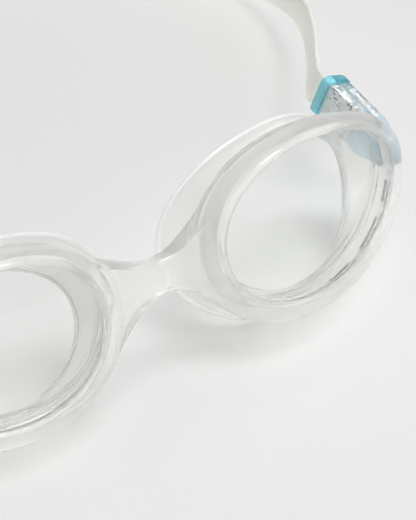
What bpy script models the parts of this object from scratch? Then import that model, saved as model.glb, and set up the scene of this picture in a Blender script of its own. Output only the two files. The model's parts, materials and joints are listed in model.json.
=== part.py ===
"""Swim goggles lying on a table: soft frame, clear lenses, face seals, swivelling side clips, head strap.

Row frame in metres, +Z up. The lenses face -Y, and the wearer's left side is +X. The goggles lean back
on the lower edges of their face seals, and the strap loop lies on its edge behind them.
Cup frame: x runs from the nose to the temple, y is depth behind the middle
of the lens front, z is up along the lens. Clip frame: x outwards along the pivot, y towards the strap, z up.
The right side's frames are mirror images, so both sides are built from the same shapes.
"""
import math
from collections import namedtuple

import bmesh
import bpy
from mathutils import Matrix, Vector

MM = 0.001
SIDES = {"left": 1, "right": -1}

# Clearances and mesh counts
GAP = 0.3 * MM
SAME_POINT = 0.001 * MM
LEAST_CORNER = 0.05 * MM
ROUND_POINTS = 44
HUB_POINTS = 24
PIN_POINTS = 12

# How the goggles lie, and how the two eye cups stand to each other
LEAN = math.radians(19.6)
WRAP = math.radians(11.3)
NOSE_GAP = 25.8 * MM
SEAL_FLAT = 0.9 * MM

# Lens: opening in the frame, curvature of its front, and the hard rim under the soft lip
LENS_NOSE = 28.5 * MM
LENS_TEMPLE = 27.9 * MM
LENS_HALF_HEIGHT = 20.1 * MM
LENS_EGG = 0.17
LENS_DROP = 0.5 * MM
LENS_RADIUS_ACROSS = 67.0 * MM
LENS_RADIUS_UP = 140.0 * MM
LENS_THICK = 2.0 * MM
LENS_EDGE = 1.6 * MM
LENS_WALL = 1.3 * MM

# Soft frame: width of the lip at nose, temple, top and bottom, its crown and its depth
LIP_NOSE = 5.4 * MM
LIP_TEMPLE = 8.4 * MM
LIP_HEIGHT = 4.7 * MM
LIP_DROP = 2.0 * MM
LIP_EGG = 0.15
LIP_RISE = 1.9 * MM
RING_DEPTH = 6.6 * MM

# Nose bridge, part of the soft frame
BRIDGE_HALF_HEIGHT = 4.6 * MM
BRIDGE_FLARE = 3.4 * MM
BRIDGE_THICK = 5.2 * MM
BRIDGE_SINK = 2.4 * MM
BRIDGE_RISE = 0.6 * MM

# Face seal: thin skirt that narrows to a throat and flares out to its rim
SEAL_THICK = 1.4 * MM
THROAT_NOSE_INSET = 5.5 * MM
THROAT_TEMPLE_INSET = 7.4 * MM
THROAT_HEIGHT_INSET = 0.6 * MM
THROAT_DROP = 4.0 * MM
THROAT_BEHIND = 6.3 * MM
RIM_NOSE_FLARE = 6.0 * MM
RIM_TEMPLE_FLARE = 1.6 * MM
RIM_HEIGHT_FLARE = 6.9 * MM
RIM_DROP = 6.7 * MM
RIM_EGG = 0.0
RIM_TILT = -0.08
RIM_BEHIND = 5.1 * MM
SEAL_EASE = 7.4 * MM

# Hard temple anchor in the frame, with the pivot boss that carries the clip
PIVOT_BEHIND = 3.6 * MM
ANCHOR_BITE = 4.4 * MM
ANCHOR_THICK = 2.4 * MM
ANCHOR_HALF_HEIGHT = 5.0 * MM
ANCHOR_INSET = 2.4 * MM
BOSS_RADIUS = 3.0 * MM
STEM_RADIUS = 1.6 * MM
RIVET_HEAD_RADIUS = 3.9 * MM
RIVET_HEAD_THICK = 0.7 * MM

# Side clip: clear tray with the strap channel, tinted cover with the strap's mouth, release lever on a pin
CLIP_SWIVEL = math.radians(34.0)
CLIP_SIDE = 1.0 * MM
PLATE_THICK = 1.6 * MM
TRAY_WALL = 1.0 * MM
TRAY_CORNER = 1.2 * MM
TRAY_ROUND = 0.4 * MM
REAR_BAR = 1.5 * MM
REAR_SLANT = 2.8 * MM
BLOCK_CLEAR = 1.2 * MM
BLOCK_WALL = 1.0 * MM
BLOCK_ROUND = 1.6 * MM
COVER_THICK = 0.8 * MM
COVER_PROUD = 0.5 * MM
COVER_ROUND = 0.5 * MM
MOUTH_LENGTH = 2.6 * MM
MOUTH_LIP = 0.4 * MM
MOUTH_CORNER = 2.6 * MM
PIN_RADIUS = 0.4 * MM
PIN_FIT = 0.12 * MM
LUG_LENGTH = 3.0 * MM
LUG_THICK = 1.2 * MM
LEVER_THICK = 1.0 * MM
LEVER_HALF_HEIGHT = 3.2 * MM
LEVER_FRONT = 3.9 * MM
LEVER_REAR = 2.4 * MM
BARREL_WALL = 0.45 * MM
LEVER_TRAVEL = 0.6 * MM
PAD_PROUD = 0.7 * MM
TOOTH_COUNT = 2

# Head strap: a flat band
STRAP_WIDTH = 11.5 * MM
STRAP_THICK = 1.3 * MM
STRAP_PLAY = 0.5 * MM
STRAP_CHAMFER = 0.3 * MM
TAIL_PROUD = 0.6 * MM
STRAP_LEAD = 5.0 * MM
STRAP_BULGE = 28.0 * MM
STRAP_REACH = 140.5 * MM
STRAP_STEPS = 4
# Free route of one half: share of the bulge, of the reach behind the clip, and of the drop to the table
STRAP_OUTWARD = ((0.13, 0.045, 0.07), (0.44, 0.138, 0.21), (0.72, 0.238, 0.36), (0.92, 0.343, 0.53))
# Then round the back: share of the widest half-width, of the reach, and of the drop
STRAP_AROUND = ((1.00, 0.458, 0.72), (0.95, 0.628, 0.95), (0.76, 0.825, 1.00), (0.40, 0.956, 1.00))

Egg = namedtuple("Egg", "nose temple half_height egg drop tilt")
OPENING = Egg(LENS_NOSE, LENS_TEMPLE, LENS_HALF_HEIGHT, LENS_EGG, LENS_DROP, 0.0)
RING = Egg(
    LENS_NOSE + LIP_NOSE,
    LENS_TEMPLE + LIP_TEMPLE,
    LENS_HALF_HEIGHT + LIP_HEIGHT,
    LIP_EGG,
    LENS_DROP + LIP_DROP,
    0.0,
)
THROAT = Egg(
    LENS_NOSE - THROAT_NOSE_INSET,
    LENS_TEMPLE - THROAT_TEMPLE_INSET,
    LENS_HALF_HEIGHT - THROAT_HEIGHT_INSET,
    0.0,
    LENS_DROP + THROAT_DROP,
    0.0,
)
RIM = Egg(
    LENS_NOSE + RIM_NOSE_FLARE,
    LENS_TEMPLE + RIM_TEMPLE_FLARE,
    LENS_HALF_HEIGHT + RIM_HEIGHT_FLARE,
    RIM_EGG,
    LENS_DROP + RIM_DROP,
    RIM_TILT,
)

CUP_X = NOSE_GAP / 2 + RING.nose * math.cos(WRAP)
THROAT_DEPTH = RING_DEPTH + THROAT_BEHIND
RIM_DEPTH = THROAT_DEPTH + RIM_BEHIND
SEAL_RADIUS = LENS_RADIUS_ACROSS + SEAL_EASE
# Places along the pivot, measured outwards from the clip frame's origin
PIVOT_X = RING.temple
PIVOT_DEPTH = RING.temple**2 / (2 * LENS_RADIUS_ACROSS) + RING_DEPTH + PIVOT_BEHIND
ANCHOR_ROOT = PIVOT_BEHIND + ANCHOR_BITE
ANCHOR_OUTER = -ANCHOR_INSET
PLATE_INNER = ANCHOR_OUTER + GAP
PLATE_OUTER = PLATE_INNER + PLATE_THICK
STRAP_OUTER = PLATE_INNER + BLOCK_WALL / 2
CHANNEL_OUTER = STRAP_OUTER + GAP
STRAP_MIDDLE = STRAP_OUTER - STRAP_THICK / 2
CHANNEL_INNER = STRAP_OUTER - STRAP_THICK - STRAP_PLAY
BLOCK_INNER = CHANNEL_INNER - BLOCK_WALL
BARREL_RADIUS = PIN_RADIUS + PIN_FIT + BARREL_WALL
PIN_HEIGHT = PLATE_OUTER + BARREL_RADIUS / 2
LUG_TOP = PIN_HEIGHT + BARREL_RADIUS
RIVET_TOP = PLATE_OUTER + GAP + RIVET_HEAD_THICK
COVER_INNER = max(LUG_TOP, RIVET_TOP) + GAP
COVER_CROWN = COVER_INNER + COVER_THICK
TRAY_TOP = COVER_CROWN - COVER_PROUD
PAD_TOP = COVER_CROWN + PAD_PROUD
# Places along the clip, measured from the pivot towards the strap
CLIP_HALF_HEIGHT = STRAP_WIDTH / 2 + GAP + CLIP_SIDE
POCKET_HALF_HEIGHT = CLIP_HALF_HEIGHT - TRAY_WALL
COVER_HALF_HEIGHT = POCKET_HALF_HEIGHT - GAP
PAD_HALF_HEIGHT = LEVER_HALF_HEIGHT - 2 * GAP
PAD_START = RIVET_HEAD_RADIUS + 2 * GAP
PAD_LENGTH = LEVER_FRONT - BARREL_RADIUS - GAP
PAD_SWING = (PAD_TOP - PIN_HEIGHT) * LEVER_TRAVEL / LEVER_FRONT
PIN_PLACE = PAD_START + LEVER_FRONT
LEVER_END = PIN_PLACE + LEVER_REAR
TOOTH_PITCH = (LEVER_REAR - BARREL_RADIUS - GAP) / TOOTH_COUNT
TRAY_END = LEVER_END + GAP + REAR_BAR
MOUTH_START = TRAY_END + GAP
CLIP_REACH = MOUTH_START + MOUTH_LENGTH
MOUTH_END = CLIP_REACH + REAR_SLANT
BLOCK_START = ANCHOR_HALF_HEIGHT + BLOCK_CLEAR
TAIL_END = BLOCK_START - TAIL_PROUD


def egg_point(egg, turn):
    across, up = math.cos(turn), math.sin(turn)
    x = across * (egg.temple if across > 0 else egg.nose)
    return x, egg.half_height * up * (1 - egg.egg * across) - egg.drop + egg.tilt * x


def grown(egg, by):
    return egg._replace(nose=egg.nose + by, temple=egg.temple + by, half_height=egg.half_height + by)


def between(first, second, share):
    return Egg(*(a + (b - a) * share for a, b in zip(first, second)))


def lens_depth(x, z):
    return x * x / (2 * LENS_RADIUS_ACROSS) + z * z / (2 * LENS_RADIUS_UP)


def turns(count):
    return [2 * math.pi * i / count for i in range(count)]


def egg_loop(egg, forward, scale=1.0):
    """Points round an outline that lies `forward` of the lens front."""
    points = [egg_point(egg, turn) for turn in turns(ROUND_POINTS)]
    return [Vector((x * scale, lens_depth(x * scale, z * scale) - forward, z * scale)) for x, z in points]


def bowed_loop(egg, depth):
    """Points round an outline of the face seal, which curves round the face less than the lens does."""
    points = [egg_point(egg, turn) for turn in turns(ROUND_POINTS)]
    return [Vector((x, depth + x * x / (2 * SEAL_RADIUS), z)) for x, z in points]


def new_object(name, mesh, collection, parent=None):
    obj = bpy.data.objects.new(name, mesh)
    collection.objects.link(obj)
    obj.parent = parent
    return obj


def finished_mesh(name, bm, smooth_angle=40):
    bmesh.ops.recalc_face_normals(bm, faces=bm.faces)
    mesh = bpy.data.meshes.new(name)
    bm.to_mesh(mesh)
    bm.free()
    mesh.shade_smooth()
    mesh.set_sharp_from_angle(angle=math.radians(smooth_angle))
    return mesh


def loft(name, loops, ring=False, poles=False, caps=False):
    """A skin through loops of points: open, closed into a ring, or ended by poles or flat caps."""
    bm = bmesh.new()
    rows = [[bm.verts.new(point) for point in loop] for loop in loops]
    count = len(rows[0])
    pairs = list(zip(rows, rows[1:])) + ([(rows[-1], rows[0])] if ring else [])
    for one, two in pairs:
        for i in range(count):
            j = (i + 1) % count
            bm.faces.new((one[i], one[j], two[j], two[i]))
    if poles:
        for row in (rows[0], rows[-1]):
            middle = sum((v.co for v in row), Vector()) / count
            pole = bm.verts.new(middle)
            for i in range(count):
                bm.faces.new((row[i], row[(i + 1) % count], pole))
    if caps:
        bm.faces.new(rows[0])
        bm.faces.new(rows[-1])
    return finished_mesh(name, bm)


def box_mesh(name, low, high, bevel=0.0):
    bm = bmesh.new()
    low, high = Vector(low), Vector(high)
    middle, size = (low + high) / 2, high - low
    bmesh.ops.create_cube(bm, size=1.0, matrix=Matrix.LocRotScale(middle, None, size))
    if bevel:
        bmesh.ops.bevel(bm, geom=bm.edges[:], offset=bevel, segments=2, affect="EDGES", profile=0.5)
    return finished_mesh(name, bm)


def rod_mesh(name, radius, start, end, points):
    """A round rod between two points."""
    bm = bmesh.new()
    start, end = Vector(start), Vector(end)
    along = end - start
    place = Matrix.Translation((start + end) / 2) @ along.to_track_quat("Z", "Y").to_matrix().to_4x4()
    bmesh.ops.create_cone(
        bm, cap_ends=True, segments=points, radius1=radius, radius2=radius, depth=along.length, matrix=place
    )
    return finished_mesh(name, bm)


def slab_loop(start, end, half_height, corners, out, inset=0.0):
    """Rounded outline in the clip's side view, at one level."""
    start, end, half_height = start + inset, end - inset, half_height - inset
    front, rear = (max(corner - inset, LEAST_CORNER) for corner in corners)
    middles = (
        (start + front, half_height - front, front, math.pi / 2),
        (start + front, front - half_height, front, math.pi),
        (end - rear, rear - half_height, rear, 3 * math.pi / 2),
        (end - rear, half_height - rear, rear, 0.0),
    )
    steps = HUB_POINTS // 4
    loop = []
    for y, z, radius, first in middles:
        for i in range(steps + 1):
            turn = first + math.pi / 2 * i / steps
            point = Vector((out, y + radius * math.cos(turn), z + radius * math.sin(turn)))
            if not loop or (point - loop[-1]).length > SAME_POINT:
                loop.append(point)
    return loop


def material(name, colour, roughness, transmission=0.0):
    made = bpy.data.materials.new(name)
    made.use_nodes = True
    shader = made.node_tree.nodes["Principled BSDF"]
    shader.inputs["Base Color"].default_value = (*colour, 1.0)
    shader.inputs["Roughness"].default_value = roughness
    shader.inputs["Transmission Weight"].default_value = transmission
    shader.inputs["Metallic"].default_value = 0.0
    return made


def boolean(obj, other, operation):
    modifier = obj.modifiers.new(operation.lower(), "BOOLEAN")
    modifier.operation = operation
    modifier.solver = "EXACT"
    modifier.object = other


class Goggles:
    """The scene's collections and helpers, and one method for each kind of sub-part."""

    def __init__(self):
        for obj in list(bpy.data.objects):
            bpy.data.objects.remove(obj, do_unlink=True)
        self.parts = self.collection("swim_goggles")
        self.helpers = self.collection("swim_goggles_cutters")
        self.root = self.empty("goggles_frame", None, Matrix())
        lean = Matrix.Translation((0, 0, lens_height())) @ Matrix.Rotation(-LEAN, 4, "X")
        self.lean = self.empty("goggles_lean", self.root, lean)
        self.cups, self.clips = {}, {}
        for side, sign in SIDES.items():
            mirror = Matrix.Scale(sign, 4, (1, 0, 0))
            cup = mirror @ Matrix.Translation((CUP_X, 0, 0)) @ Matrix.Rotation(WRAP, 4, "Z")
            self.cups[side] = self.empty(f"{side}_cup", self.lean, cup)
            pivot = Matrix.Translation((PIVOT_X, PIVOT_DEPTH, 0)) @ Matrix.Rotation(CLIP_SWIVEL, 4, "X")
            self.clips[side] = self.empty(f"{side}_clip_pivot", self.cups[side], pivot)
        bpy.context.view_layer.update()

    @staticmethod
    def collection(name):
        made = bpy.data.collections.new(name)
        bpy.context.scene.collection.children.link(made)
        return made

    def empty(self, name, parent, matrix):
        obj = new_object(name, None, self.helpers, parent)
        obj.matrix_local = matrix
        return obj

    def part(self, name, mesh, parent, finish):
        obj = new_object(name, mesh, self.parts, parent)
        mesh.materials.clear()
        mesh.materials.append(finish)
        return obj

    def helper(self, name, mesh, parent):
        obj = new_object(name, mesh, self.helpers, parent)
        obj.hide_render = True
        obj.display_type = "WIRE"
        return obj

    def cut(self, obj, name, mesh, parent):
        helper = self.helper(f"{obj.name}_{name}", mesh, parent)
        boolean(obj, helper, "DIFFERENCE")
        return helper

    def join(self, obj, name, mesh, parent):
        helper = self.helper(f"{obj.name}_{name}", mesh, parent)
        boolean(obj, helper, "UNION")
        return helper

    def soft_frame(self, finish):
        obj = self.part("soft_frame", loft("soft_frame", bridge_loops(), caps=True), self.lean, finish)
        for side, cup in self.cups.items():
            self.join(obj, f"{side}_ring", loft("ring", ring_loops(), ring=True), cup)
        for side, cup in self.cups.items():
            pocket = box_mesh(
                "anchor_pocket",
                (
                    PIVOT_X + ANCHOR_OUTER - ANCHOR_THICK - GAP,
                    PIVOT_DEPTH - ANCHOR_ROOT - GAP,
                    -ANCHOR_HALF_HEIGHT - GAP,
                ),
                (PIVOT_X + ANCHOR_OUTER + GAP, PIVOT_DEPTH + ANCHOR_ROOT, ANCHOR_HALF_HEIGHT + GAP),
            )
            self.cut(obj, f"{side}_anchor_pocket", pocket, cup)
            seat = rod_mesh(
                "clip_seat",
                CLIP_HALF_HEIGHT + GAP,
                (PIVOT_X + PLATE_INNER - GAP, PIVOT_DEPTH, 0),
                (PIVOT_X + LIP_TEMPLE, PIVOT_DEPTH, 0),
                HUB_POINTS,
            )
            self.cut(obj, f"{side}_clip_seat", seat, cup)

    def lens(self, side, finish):
        self.part(f"{side}_lens", loft("lens", lens_loops(), poles=True), self.cups[side], finish)

    def face_seal(self, side, finish):
        obj = self.part(f"{side}_face_seal", loft("face_seal", seal_loops()), self.cups[side], finish)
        wall = obj.modifiers.new("wall", "SOLIDIFY")
        wall.thickness = SEAL_THICK
        wall.offset = 0.0
        wall.use_even_offset = True
        reach = CUP_X + RIM.temple + RIM.nose
        table = box_mesh("table", (-reach, -reach, -reach / 4), (reach, reach, 0))
        self.cut(obj, "table", table, self.root)

    def temple_anchor(self, side, finish):
        levels = [anchor_loop(ANCHOR_OUTER - ANCHOR_THICK), anchor_loop(ANCHOR_OUTER)]
        plate = loft("temple_anchor", levels, caps=True)
        obj = self.part(f"{side}_temple_anchor", plate, self.cups[side], finish)
        obj.location = (PIVOT_X, PIVOT_DEPTH, 0)
        middle = ANCHOR_OUTER - ANCHOR_THICK / 2
        boss = rod_mesh("boss", BOSS_RADIUS, (middle, 0, 0), (PLATE_OUTER, 0, 0), HUB_POINTS)
        self.join(obj, "boss", boss, self.cups[side]).location = obj.location
        bore = rod_mesh("bore", STEM_RADIUS + GAP, (middle, 0, 0), (RIVET_TOP, 0, 0), PIN_POINTS)
        self.cut(obj, "bore", bore, self.cups[side]).location = obj.location

    def pivot_rivet(self, side, finish):
        head = rod_mesh(
            "pivot_rivet", RIVET_HEAD_RADIUS, (PLATE_OUTER + GAP, 0, 0), (RIVET_TOP, 0, 0), HUB_POINTS
        )
        obj = self.part(f"{side}_pivot_rivet", head, self.cups[side], finish)
        obj.location = (PIVOT_X, PIVOT_DEPTH, 0)
        bottom = ANCHOR_OUTER - ANCHOR_THICK / 2 + GAP
        top = RIVET_TOP - RIVET_HEAD_THICK / 2
        stem = rod_mesh("stem", STEM_RADIUS, (bottom, 0, 0), (top, 0, 0), PIN_POINTS)
        self.join(obj, "stem", stem, self.cups[side]).location = obj.location

    def clip_base(self, side, finish):
        clip = self.clips[side]
        obj = self.part(f"{side}_clip_base", loft("clip_base", tray_loops(), caps=True), clip, finish)
        pocket = [pocket_loop(PLATE_OUTER), pocket_loop(COVER_CROWN)]
        self.cut(obj, "pocket", loft("pocket", pocket, caps=True), clip)
        self.join(obj, "block", loft("block", block_loops(), caps=True), clip)
        for name, end in (("upper_lug", 1), ("lower_lug", -1)):
            inner = LEVER_HALF_HEIGHT + GAP
            heights = sorted((end * inner, end * (inner + LUG_THICK)))
            lug = box_mesh(
                "lug",
                (PLATE_OUTER - PLATE_THICK / 4, PIN_PLACE - LUG_LENGTH / 2, heights[0]),
                (LUG_TOP, PIN_PLACE + LUG_LENGTH / 2, heights[1]),
            )
            self.join(obj, name, lug, clip)
        self.cut(obj, "strap_channel", channel_mesh(), clip)
        window = box_mesh(
            "window",
            (STRAP_MIDDLE, PAD_START - GAP, -LEVER_HALF_HEIGHT - GAP),
            (LUG_TOP, LEVER_END + GAP, LEVER_HALF_HEIGHT + GAP),
        )
        self.cut(obj, "lever_window", window, clip)
        low, high = (BLOCK_INNER, 0, 0), (RIVET_TOP, 0, 0)
        hub = rod_mesh("hub_hole", BOSS_RADIUS + GAP, low, high, HUB_POINTS)
        self.cut(obj, "hub_hole", hub, clip)
        self.cut(obj, "pin_hole", pin_mesh(PIN_RADIUS + PIN_FIT, GAP), clip)

    def clip_cover(self, side, finish):
        clip = self.clips[side]
        obj = self.part(f"{side}_clip_cover", loft("clip_cover", cover_loops(), caps=True), clip, finish)
        self.join(obj, "mouth", loft("mouth", mouth_loops(), caps=True), clip)
        self.cut(obj, "strap_channel", channel_mesh(), clip)
        window = box_mesh(
            "pad_window",
            (PIN_HEIGHT, PAD_START - GAP - PAD_SWING, -PAD_HALF_HEIGHT - GAP),
            (PAD_TOP, PAD_START + PAD_LENGTH + GAP, PAD_HALF_HEIGHT + GAP),
        )
        self.cut(obj, "pad_window", window, clip)

    def release_lever(self, side, finish):
        clip = self.clips[side]
        low, high = PIN_HEIGHT - LEVER_THICK / 2, PIN_HEIGHT + LEVER_THICK / 2
        pin = Vector((PIN_HEIGHT, PIN_PLACE, 0))
        arms = box_mesh(
            "release_lever",
            (low, PAD_START, -LEVER_HALF_HEIGHT),
            (high, LEVER_END, LEVER_HALF_HEIGHT),
        )
        arms.transform(Matrix.Translation(-pin))
        obj = self.part(f"{side}_release_lever", arms, clip, finish)
        obj.location = pin
        barrel = rod_mesh(
            "barrel",
            BARREL_RADIUS,
            (PIN_HEIGHT, PIN_PLACE, -LEVER_HALF_HEIGHT + GAP),
            (PIN_HEIGHT, PIN_PLACE, LEVER_HALF_HEIGHT - GAP),
            PIN_POINTS,
        )
        self.join(obj, "barrel", barrel, clip)
        pad = box_mesh(
            "pad",
            (PIN_HEIGHT, PAD_START + GAP, -PAD_HALF_HEIGHT),
            (PAD_TOP, PAD_START + PAD_LENGTH, PAD_HALF_HEIGHT),
            bevel=PAD_PROUD / 2,
        )
        self.join(obj, "pad", pad, clip)
        for i in range(TOOTH_COUNT):
            rear = LEVER_END - GAP - i * TOOTH_PITCH
            tooth = [
                tooth_loop(rear, -LEVER_HALF_HEIGHT + GAP),
                tooth_loop(rear, LEVER_HALF_HEIGHT - GAP),
            ]
            self.join(obj, f"tooth_{i + 1}", loft("tooth", tooth, caps=True), clip)
        self.cut(obj, "pin_hole", pin_mesh(PIN_RADIUS + PIN_FIT, GAP), clip)

    def lever_pin(self, side, finish):
        self.part(f"{side}_lever_pin", pin_mesh(PIN_RADIUS, 0.0), self.clips[side], finish)

    def head_strap(self, finish):
        clip = self.lean.matrix_local @ self.cups["left"].matrix_local @ self.clips["left"].matrix_local
        band = loft("head_strap", band_loops(strap_stations(clip)), caps=True)
        self.part("head_strap", band, self.root, finish)

    def centre_footprint(self):
        """Moves everything so that the origin is under the middle of the whole."""
        bpy.context.view_layer.update()
        graph = bpy.context.evaluated_depsgraph_get()
        depths = []
        for obj in self.parts.objects:
            made = obj.evaluated_get(graph)
            depths += [(made.matrix_world @ vertex.co).y for vertex in made.data.vertices]
        self.root.location.y = -(min(depths) + max(depths)) / 2
        bpy.context.view_layer.update()


def lens_height():
    """Height of the lens middle above the table, with the seals pressed flat by SEAL_FLAT."""
    lowest = 0.0
    for point in bowed_loop(RIM, RIM_DEPTH):
        back = point.x * math.sin(WRAP) + point.y * math.cos(WRAP)
        lowest = min(lowest, point.z * math.cos(LEAN) - back * math.sin(LEAN))
    return -lowest - SEAL_FLAT


def ring_loops():
    """Section of the soft ring: round lip over the lens edge, outer wall, back, and the lens groove."""
    groove = grown(OPENING, LENS_EDGE + GAP)
    lip = ((0.03, 0.55), (0.22, 0.95), (0.50, 1.0), (0.78, 0.6), (0.96, -0.3))
    section = [(OPENING, GAP)]
    section += [(between(OPENING, RING, share), LIP_RISE * rise) for share, rise in lip]
    wall = ((1.0, 0.3), (0.96, 0.7), (0.88, 0.93), (0.76, 1.0))
    section += [(between(OPENING, RING, share), -RING_DEPTH * deep) for share, deep in wall]
    section += [(groove, -RING_DEPTH), (groove, GAP)]
    return [egg_loop(egg, forward) for egg, forward in section]


def bridge_loops():
    """Sections of the nose bridge from one ring's outer wall to the other's, waisted in the middle."""
    ring_middle = lens_depth(RING.nose, 0) + RING_DEPTH / 2
    end_back = ring_middle * math.cos(WRAP) - RING.nose * math.sin(WRAP)
    end = NOSE_GAP / 2 - ring_middle * math.sin(WRAP) + BRIDGE_SINK
    stations, corners = 10, 16
    loops = []
    for i in range(stations + 1):
        share = 2 * i / stations - 1
        half_height = BRIDGE_HALF_HEIGHT + BRIDGE_FLARE * share * share
        half_thick = BRIDGE_THICK / 2
        loop = []
        for turn in turns(corners):
            across, up = math.cos(turn), math.sin(turn)
            y = math.copysign(abs(across) ** 0.6, across) * half_thick
            z = math.copysign(abs(up) ** 0.6, up) * half_height
            loop.append(Vector((share * end, end_back - LIP_RISE * (1 - share * share) + y, BRIDGE_RISE + z)))
        loops.append(loop)
    return loops


def lens_loops():
    """Lens front, its edge under the lip, its side wall, and its back."""
    edge, wall = grown(OPENING, LENS_EDGE), grown(OPENING, LENS_EDGE - LENS_WALL)
    shares = (0.25, 0.5, 0.75, 0.9)
    front = [egg_loop(edge, 0.0, share) for share in shares]
    back = [egg_loop(wall, -LENS_THICK, share) for share in reversed(shares)]
    rim = [egg_loop(edge, 0.0), egg_loop(edge, -RING_DEPTH)]
    rim += [egg_loop(wall, -RING_DEPTH), egg_loop(wall, -LENS_THICK)]
    return front + rim + back


def seal_loops():
    """Middle of the seal's wall: from behind the lens wall, in to the throat, and out to the rim."""
    collar = grown(OPENING, LENS_EDGE - SEAL_THICK / 2)
    front = egg_loop(collar, -RING_DEPTH - GAP)
    neck = egg_loop(collar, -RING_DEPTH - GAP - SEAL_THICK)
    throat = bowed_loop(THROAT, THROAT_DEPTH)
    rim = bowed_loop(RIM, RIM_DEPTH)
    loops = [front] + [[a.lerp(b, share) for a, b in zip(neck, throat)] for share in (0.0, 0.35, 0.7)]
    for share in (0.0, 0.25, 0.5, 0.75, 1.0):
        depth_share = 1 - (1 - share) ** 2
        loop = []
        for a, b in zip(throat, rim):
            point = a.lerp(b, share)
            point.y = a.y + (b.y - a.y) * depth_share
            loop.append(point)
        loops.append(loop)
    return loops


def anchor_loop(out):
    """Side view of the temple anchor: square root in the frame, round end about the pivot."""
    half = ANCHOR_HALF_HEIGHT
    loop = [Vector((out, -ANCHOR_ROOT, half)), Vector((out, -ANCHOR_ROOT, -half))]
    for i in range(HUB_POINTS // 2 + 1):
        turn = -math.pi / 2 + math.pi * i / (HUB_POINTS // 2)
        loop.append(Vector((out, half * math.cos(turn), half * math.sin(turn))))
    return loop


def slant(out):
    """How much further back the clip's strap end lies than at the cover's crown, most near the head."""
    return REAR_SLANT * (COVER_CROWN - out) / (COVER_CROWN - BLOCK_INNER)


def tray_loops():
    """Outside of the clip base: round about the pivot, square at the strap end, its outer edge rounded."""
    half = CLIP_HALF_HEIGHT
    levels = ((PLATE_INNER, 0.0), (TRAY_TOP - TRAY_ROUND, 0.0), (TRAY_TOP, TRAY_ROUND))
    corners = (half, TRAY_CORNER)
    return [slab_loop(-half, TRAY_END + slant(out), half, corners, out, inset) for out, inset in levels]


def pocket_loop(out):
    """Hollow of the tray, open at the strap end."""
    half = POCKET_HALF_HEIGHT
    return slab_loop(-half, CLIP_REACH, half, (half, GAP), out)


def block_loops():
    """The thick strap end of the clip base, rounded towards the head."""
    levels = ((BLOCK_INNER, 1.0), (BLOCK_INNER + 0.3 * BLOCK_ROUND, 0.3), (BLOCK_INNER + BLOCK_ROUND, 0.0))
    levels += ((PLATE_INNER + PLATE_THICK / 2, 0.0),)
    corners = (BLOCK_ROUND, BLOCK_ROUND)
    end, half = TRAY_END - GAP / 4, CLIP_HALF_HEIGHT - GAP / 4
    loops = []
    for out, inset in levels:
        loops.append(slab_loop(BLOCK_START, end + slant(out), half, corners, out, BLOCK_ROUND * inset))
    return loops


def cover_loops():
    """The cover's lid, which lies in the tray and ends inside the mouth."""
    half, end = COVER_HALF_HEIGHT, MOUTH_START + MOUTH_LENGTH / 2
    levels = ((COVER_INNER, 0.0), (COVER_CROWN - COVER_ROUND, 0.0), (COVER_CROWN, COVER_ROUND))
    return [slab_loop(-half, end, half, (half, 2 * COVER_ROUND), out, inset) for out, inset in levels]


def mouth_loops():
    """The cover's loop round the strap: a rounded hoop, a little proud of the tray, with slanted ends."""
    half = CLIP_HALF_HEIGHT + MOUTH_LIP
    outer, edge = COVER_CROWN + MOUTH_LIP, COVER_ROUND
    corners = (MOUTH_CORNER, MOUTH_CORNER)
    levels = ((MOUTH_START, edge), (MOUTH_START + edge, 0.0), (CLIP_REACH - edge, 0.0), (CLIP_REACH, edge))
    loops = []
    for along, inset in levels:
        section = slab_loop(BLOCK_INNER, outer, half, corners, 0.0, inset)
        loops.append([Vector((point.y, along + slant(point.y), point.z)) for point in section])
    return loops


def channel_mesh():
    """Way of the strap through the clip base and the cover's mouth."""
    half = STRAP_WIDTH / 2 + GAP
    low = (CHANNEL_INNER, TAIL_END - GAP, -half)
    return box_mesh("channel", low, (CHANNEL_OUTER, MOUTH_END + GAP, half))


def pin_mesh(radius, longer):
    half = LEVER_HALF_HEIGHT + GAP + LUG_THICK + longer
    low, high = (PIN_HEIGHT, PIN_PLACE, -half), (PIN_HEIGHT, PIN_PLACE, half)
    return rod_mesh("pin", radius, low, high, PIN_POINTS)


def tooth_loop(rear, z):
    """Section of one lever tooth, which points at the strap."""
    root = PIN_HEIGHT - LEVER_THICK / 4
    tip = STRAP_OUTER + GAP
    front = rear - 0.8 * TOOTH_PITCH
    return [Vector((root, rear, z)), Vector((tip, rear, z)), Vector((root, front, z))]


def strap_stations(clip):
    """(place, direction of its thickness, direction of its width) along the strap, left clip to right."""
    clip_up, table_up = clip.to_3x3() @ Vector((0, 0, 1)), Vector((0, 0, 1))
    held = [clip @ Vector((STRAP_MIDDLE, y, 0)) for y in (TAIL_END, CLIP_REACH, CLIP_REACH + STRAP_LEAD)]
    route = [(place, clip_up) for place in held]
    leave = held[-1]
    lowest = STRAP_WIDTH / 2
    drop = leave.z - lowest
    for i, (out, back, down) in enumerate(STRAP_OUTWARD):
        place = Vector((leave.x + STRAP_BULGE * out, leave.y + STRAP_REACH * back, leave.z - drop * down))
        route.append((place, clip_up.lerp(table_up, (i + 1) / len(STRAP_OUTWARD))))
    widest = leave.x + STRAP_BULGE
    for out, back, down in STRAP_AROUND:
        route.append((Vector((widest * out, leave.y + STRAP_REACH * back, leave.z - drop * down)), table_up))
    other = [(Vector((-p.x, p.y, p.z)), Vector((-u.x, u.y, u.z))) for p, u in reversed(route)]
    route += [(Vector((0, leave.y + STRAP_REACH, lowest)), table_up)] + other
    return band_frames(route, lowest)


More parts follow.
